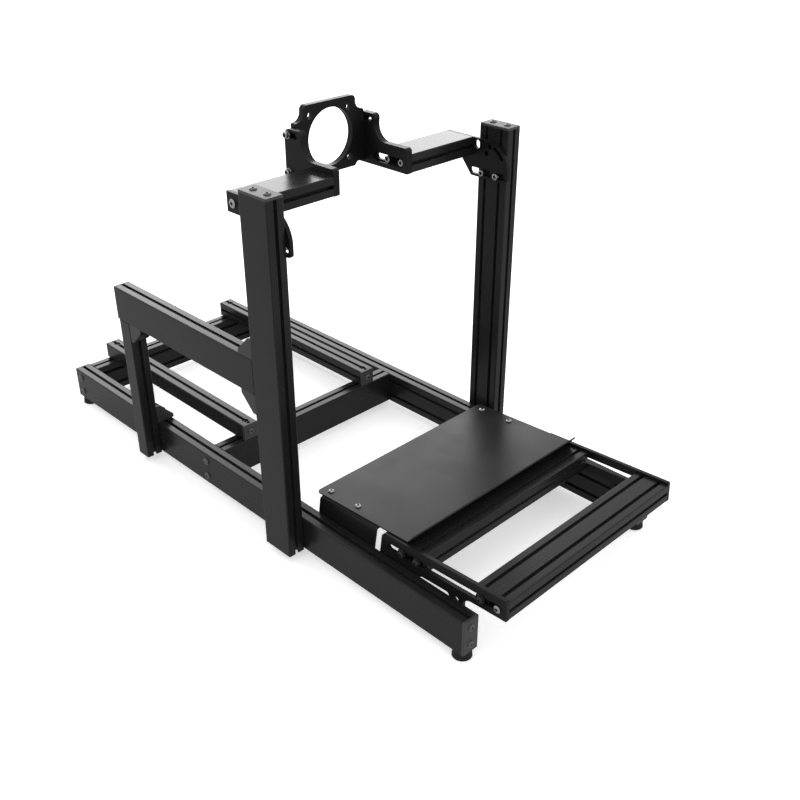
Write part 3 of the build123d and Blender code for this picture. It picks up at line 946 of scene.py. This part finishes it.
@dataclass
class EndCaps:
    """The moulded caps on the bars' open ends, and the screws that hold them."""

    module: float = 0.04
    pieces: list[Any] = field(default_factory=list)

    def dress(self) -> None:
        """Give the caps their finish."""
        for _, side in SIDES:
            for end in ("front", "rear"):
                CAP.dress(f"base_rail_cap_{end}_{side}", f"seat_rail_cap_{end}_{side}")
            CAP.dress(f"upright_cap_{side}")
        CAP.dress("shifter_arm_cap")

    def build(self) -> list[Any]:
        """Fit a screw in each cell of each cap.

        Returns:
            The pieces.
        """
        half = self.module / 2
        seats = []
        for _, side in SIDES:
            for end, way in (("front", 1), ("rear", -1)):
                cap = Box(f"base_rail_cap_{end}_{side}")
                y = cap.high.y if way > 0 else cap.low.y
                for z in (cap.low.z + half, cap.high.z - half):
                    seats.append(((cap.centre(0), y, z), (0, way, 0)))
                cap = Box(f"seat_rail_cap_{end}_{side}")
                y = cap.high.y if way > 0 else cap.low.y
                seats.append(((cap.centre(0), y, cap.centre(2)), (0, way, 0)))
            cap = Box(f"upright_cap_{side}")
            for y in (cap.low.y + half, cap.high.y - half):
                seats.append(((cap.centre(0), y, cap.high.z), (0, 0, 1)))
        cap = Box("shifter_arm_cap")
        for z in (cap.low.z + half, cap.high.z - half):
            seats.append(((cap.centre(0), cap.low.y, z), (0, -1, 0)))
        self.pieces = [CAP_SCREW.fit("cap_screws", seats, SATIN_SCREW)]
        return self.pieces


@dataclass
class Feet:
    """The four rubber feet, and the screw sunk in each."""

    sink: float = 0.009
    pieces: list[Any] = field(default_factory=list)

    def dress(self) -> None:
        """Give the feet their finish."""
        for _, side in SIDES:
            RUBBER.dress(f"foot_front_{side}", f"foot_rear_{side}")

    def build(self) -> list[Any]:
        """Fit the screws.

        Returns:
            The pieces.
        """
        seats = []
        for _, side in SIDES:
            for end in ("front", "rear"):
                foot = Box(f"foot_{end}_{side}")
                seats.append(((foot.centre(0), foot.centre(1), self.sink), (0, 0, -1)))
        self.pieces = [LOW_BOLT.fit("foot_screws", seats, BLACK_SCREW)]
        return self.pieces


@dataclass
class ShifterArm:
    """The uprights, the shifter arm, its post and the corner brackets."""

    flange: float = 0.0055
    reach: float = 0.026
    pieces: list[Any] = field(default_factory=list)

    def dress(self) -> None:
        """Give the bars and brackets their finish."""
        bar_finish(Run.UP).dress("upright_right", "upright_left", "shifter_post")
        bar_finish(Run.ALONG).dress("shifter_arm")
        CASTING.dress(
            "arm_bracket_upper", "arm_bracket_lower", "post_bracket_upper", "post_bracket_lower"
        )

    def build(self) -> list[Any]:
        """Fit the brackets' bolts.

        Returns:
            The pieces.
        """
        arm, post = Box("shifter_arm"), Box("shifter_post")
        upright, rail = Box("upright_right"), Box("base_rail_right")
        x, face = arm.centre(0), upright.low.y
        seats = [
            ((x, face - self.reach, arm.high.z + self.flange), (0, 0, 1)),
            ((x, face - self.flange, arm.high.z + self.reach), (0, -1, 0)),
            ((x, face - self.reach, arm.low.z - self.flange), (0, 0, -1)),
            ((x, face - self.flange, arm.low.z - self.reach), (0, -1, 0)),
            ((x, post.high.y + self.reach, arm.low.z - self.flange), (0, 0, -1)),
            ((x, post.high.y + self.flange, arm.low.z - self.reach), (0, 1, 0)),
            ((rail.high.x - self.reach, post.centre(1), rail.high.z + self.flange), (0, 0, 1)),
            ((rail.high.x - self.flange, post.centre(1), rail.high.z + self.reach), (-1, 0, 0)),
        ]
        self.pieces = [FRAME_BOLT.fit("bracket_bolts", seats, BLACK_SCREW)]
        return self.pieces


@dataclass
class WheelDeck:
    """The two deck beams and the plates that join them to the uprights."""

    slot_rise: float = 0.0125
    module: float = 0.04
    pieces: list[Any] = field(default_factory=list)

    def dress(self) -> None:
        """Give the beams and plates their finish."""
        bar_finish(Run.ACROSS).dress("deck_beam_right", "deck_beam_left")
        PLATE.dress("deck_side_plate_right", "deck_side_plate_left")

    def build(self) -> list[Any]:
        """Fit the bolts into the beams' ends and into the uprights' slots.

        Returns:
            The pieces.
        """
        half = self.module / 2
        ends, slots = [], []
        for side, name in SIDES:
            plate = Box(f"deck_side_plate_{name}")
            beam = Box(f"deck_beam_{name}")
            upright = Box(f"upright_{name}")
            for y in (beam.low.y + half, beam.high.y - half):
                ends.append(((plate.outer_x(side), y, beam.centre(2)), (side, 0, 0)))
            for y in (upright.low.y + half, upright.high.y - half):
                seat = (plate.inner_x(side), y, plate.low.z + self.slot_rise)
                slots.append((seat, (-side, 0, 0)))
        self.pieces = [
            DISC_BOLT.fit("deck_end_bolts", ends, BRIGHT_SCREW),
            RING_BOLT.fit("deck_slot_bolts", slots, BRIGHT_SCREW),
        ]
        return self.pieces


@dataclass
class WheelMount:
    """The wheel motor's plate between its two stepped side plates."""

    recess: float = 0.008
    bolt_low: float = 0.02
    bolt_spacing: float = 0.076
    module: float = 0.04
    pieces: list[Any] = field(default_factory=list)

    def dress(self) -> None:
        """Give the plates their finish."""
        PLATE.dress("wheel_side_plate_right", "wheel_side_plate_left", "wheel_mount_plate")

    def build(self) -> list[Any]:
        """Fit the bolts in the slots and through the side plates' edges.

        Returns:
            The pieces.
        """
        half = self.module / 2
        mount = Box("wheel_mount_plate")
        inner, outer = [], []
        for side, name in SIDES:
            plate = Box(f"wheel_side_plate_{name}")
            beam = Box(f"deck_beam_{name}")
            sunk = plate.inner_x(side) + side * self.recess
            for y in (beam.low.y + half, beam.high.y - half):
                inner.append(((sunk, y, beam.centre(2)), (-side, 0, 0)))
            for rise in (self.bolt_low, self.bolt_low + self.bolt_spacing):
                z = plate.low.z + rise
                outer.append(((plate.outer_x(side), mount.centre(1), z), (side, 0, 0)))
        self.pieces = [
            RING_BOLT.fit("wheel_slot_bolts", inner, BRIGHT_SCREW),
            MOUNT_BOLT.fit("mount_plate_bolts", outer, BRIGHT_SCREW),
        ]
        return self.pieces


@dataclass
class PedalDeck:
    """The tilted pedal beams between their slotted side plates."""

    tilt: float = math.radians(3.0)
    spacing: float = 0.203
    half_cell: float = 0.02
    foot_bolts: tuple[float, ...] = (-0.065, -0.015, 0.12)
    foot_rise: float = 0.08
    pieces: list[Any] = field(default_factory=list)

    def dress(self) -> None:
        """Give the beams and plates their finish."""
        bar_finish(Run.ACROSS).dress("pedal_beam_mid", "pedal_beam_front")
        PLATE.dress("pedal_side_plate_right", "pedal_side_plate_left")

    def datum(self) -> Vector:
        """Give the middle of the rear pedal beam, as Y and Z."""
        beam = Box("pedal_beam_mid")
        return Vector((beam.centre(1), beam.centre(2)))

    def build(self) -> list[Any]:
        """Fit the bolts through the plates' slots and feet.

        Returns:
            The pieces.
        """
        start = self.datum()
        ends, feet, bright = [], [], []
        for side, name in SIDES:
            plate = Box(f"pedal_side_plate_{name}")
            for u in (
                -self.half_cell,
                self.half_cell,
                self.spacing - self.half_cell,
                self.spacing + self.half_cell,
            ):
                y = start.x + u * math.cos(self.tilt)
                z = start.y + u * math.sin(self.tilt)
                seat = ((plate.outer_x(side), y, z), (side, 0, 0))
                (bright if u > self.spacing else ends).append(seat)
            for u in self.foot_bolts:
                y = start.x + u * math.cos(self.tilt)
                feet.append(((plate.inner_x(side), y, self.foot_rise), (-side, 0, 0)))
        self.pieces = [
            LOW_BOLT.fit("pedal_beam_bolts", ends, BLACK_SCREW),
            STOP_BOLT.fit("pedal_stop_bolts", bright, BRIGHT_SCREW),
            LOW_BOLT.fit("pedal_foot_bolts", feet, BLACK_SCREW),
        ]
        return self.pieces


@dataclass
class HeelPlate:
    """The bent heel plate on its two angle brackets."""

    half_spacing: float = 0.239
    bolts: tuple[float, ...] = (0.255, 0.172)
    top: float = 0.0293
    bracket_wall: float = 0.004
    wall_bolt_rear: float = 0.025
    wall_bolt_front: float = 0.035
    pieces: list[Any] = field(default_factory=list)

    def dress(self) -> None:
        """Give the plate and brackets their finish."""
        SHEET.dress("heel_plate")
        PLATE.dress("heel_bracket_right", "heel_bracket_left")

    def build(self) -> list[Any]:
        """Fit the plate's bright screws and the brackets' bolts.

        Returns:
            The pieces.
        """
        deck = PedalDeck()
        start = deck.datum()
        cos, sin = math.cos(deck.tilt), math.sin(deck.tilt)
        top, wall = [], []
        for side, name in SIDES:
            for u in self.bolts:
                y = start.x - u * cos - self.top * sin
                z = start.y - u * sin + self.top * cos
                top.append(((side * self.half_spacing, y, z), (0, -sin, cos)))
            bracket = Box(f"heel_bracket_{name}")
            x = bracket.outer_x(side) - side * self.bracket_wall
            rear, front = bracket.low.y + self.wall_bolt_rear, bracket.high.y - self.wall_bolt_front
            for y in (rear, front):
                wall.append(((x, y, deck.foot_rise), (-side, 0, 0)))
        self.pieces = [
            PLATE_SCREW.fit("heel_plate_screws", top, BRIGHT_SCREW),
            LOW_BOLT.fit("heel_bracket_bolts", wall, BLACK_SCREW),
        ]
        return self.pieces


@dataclass
class Studio:
    """A plain pale floor, soft light and the camera.

    The floor that the camera sees is pale, and glows a little so that the shadows on it stay
    soft. The floor that lights the rig is dimmer.
    """

    camera_place: Point = (1.35905, 1.5586, 1.36289)
    yaw: float = -2.3595
    pitch: float = -0.5222
    focal_pixels: float = 1007.2
    frame_pixels: float = 800.0
    sensor: float = 36.0
    view_end: float = 200.0
    floor_half: float = 30.0
    floor_drop: float = 0.0002
    pale: Colour = (0.9, 0.9, 0.9)
    lift: float = 0.45
    bounce: Colour = (0.3, 0.3, 0.3)
    glow: float = 0.35
    world: float = 1.15
    box_place: Point = (-2.2, -3.6, 2.1)
    box_target: Point = (0, -0.2, 0.2)
    box_size: tuple[float, float] = (4.2, 1.3)
    box_radiance: float = 4.6

    def floor(self) -> None:
        """Lay the floor."""
        half, low = self.floor_half, -self.floor_drop
        corners = [(-half, -half, low), (half, -half, low), (half, half, low), (-half, half, low)]
        mesh = bpy.data.meshes.new("studio_floor")
        mesh.from_pydata(corners, [], [(0, 1, 2, 3)])
        mesh.materials.append(self.floor_material())
        floor = bpy.data.objects.new("studio_floor", mesh)
        bpy.context.scene.collection.objects.link(floor)

    def floor_material(self) -> bpy.types.Material:
        """Build the floor's material.

        Returns:
            The material.
        """
        material = bpy.data.materials.new("Pale floor")
        material.use_nodes = True
        tree = Tree(material.node_tree)
        tree.tree.nodes.clear()
        seen = self._glowing(tree, self.pale, self.lift)
        bounce = self._glowing(tree, self.bounce, self.glow)
        path = tree.add("ShaderNodeLightPath").outputs["Is Camera Ray"]
        both = tree.add("ShaderNodeMixShader", (0, path), (1, bounce), (2, seen))
        tree.add("ShaderNodeOutputMaterial", ("Surface", both.outputs[0]))
        material.cycles.emission_sampling = "NONE"
        return material

    @staticmethod
    def _glowing(tree: Tree, colour: Colour, strength: float) -> bpy.types.NodeSocket:
        """Add a matt shader that also glows.

        Args:
            tree: the floor's tree.
            colour: its matt colour.
            strength: how much it glows.

        Returns:
            The shader.
        """
        matt = tree.add("ShaderNodeBsdfDiffuse", ("Color", rgba(colour)))
        glow = tree.add("ShaderNodeEmission", ("Strength", strength))
        return tree.add(
            "ShaderNodeAddShader", (0, matt.outputs[0]), (1, glow.outputs[0])
        ).outputs[0]

    def lights(self) -> None:
        """Light the studio, all round and from one soft box behind the rig."""
        world = bpy.data.worlds.new("studio")
        world.use_nodes = True
        back = world.node_tree.nodes["Background"]
        back.inputs["Color"].default_value = (1, 1, 1, 1)
        back.inputs["Strength"].default_value = self.world
        bpy.context.scene.world = world
        light = bpy.data.lights.new("rear_soft_box", "AREA")
        light.shape = "RECTANGLE"
        light.size, light.size_y = self.box_size
        light.energy = self.box_radiance * math.pi * self.box_size[0] * self.box_size[1]
        lamp = bpy.data.objects.new("rear_soft_box", light)
        lamp.location = self.box_place
        aim = Vector(self.box_target) - Vector(self.box_place)
        lamp.rotation_euler = aim.to_track_quat("-Z", "Y").to_euler()
        lamp.visible_camera = False
        bpy.context.scene.collection.objects.link(lamp)

    def camera(self) -> None:
        """Stand the camera where the picture was taken from."""
        camera = bpy.data.cameras.new("camera")
        camera.sensor_width = self.sensor
        camera.lens = self.focal_pixels / self.frame_pixels * camera.sensor_width
        camera.clip_end = self.view_end
        stand = bpy.data.objects.new("camera", camera)
        stand.location = self.camera_place
        flat = math.cos(self.pitch)
        aim = Vector((flat * math.sin(self.yaw), flat * math.cos(self.yaw), math.sin(self.pitch)))
        stand.rotation_euler = aim.to_track_quat("-Z", "Y").to_euler()
        bpy.context.scene.collection.objects.link(stand)
        bpy.context.scene.camera = stand

    def build(self) -> None:
        """Set up the studio."""
        self.floor()
        self.lights()
        self.camera()
        bpy.context.scene.view_settings.view_transform = "Standard"


def main() -> None:
    """Dress the rig, fit its screws and set up the studio."""
    logging.basicConfig(level=logging.INFO, format="%(message)s")
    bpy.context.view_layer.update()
    for assembly in (
        BaseFrame(),
        EndCaps(),
        Feet(),
        ShifterArm(),
        WheelDeck(),
        WheelMount(),
        PedalDeck(),
        HeelPlate(),
    ):
        assembly.dress()
        for piece in assembly.build():
            LOG.info("%s: %d faces", piece.name, len(piece.data.polygons))
    Studio().build()


if __name__ == "__main__":
    main()
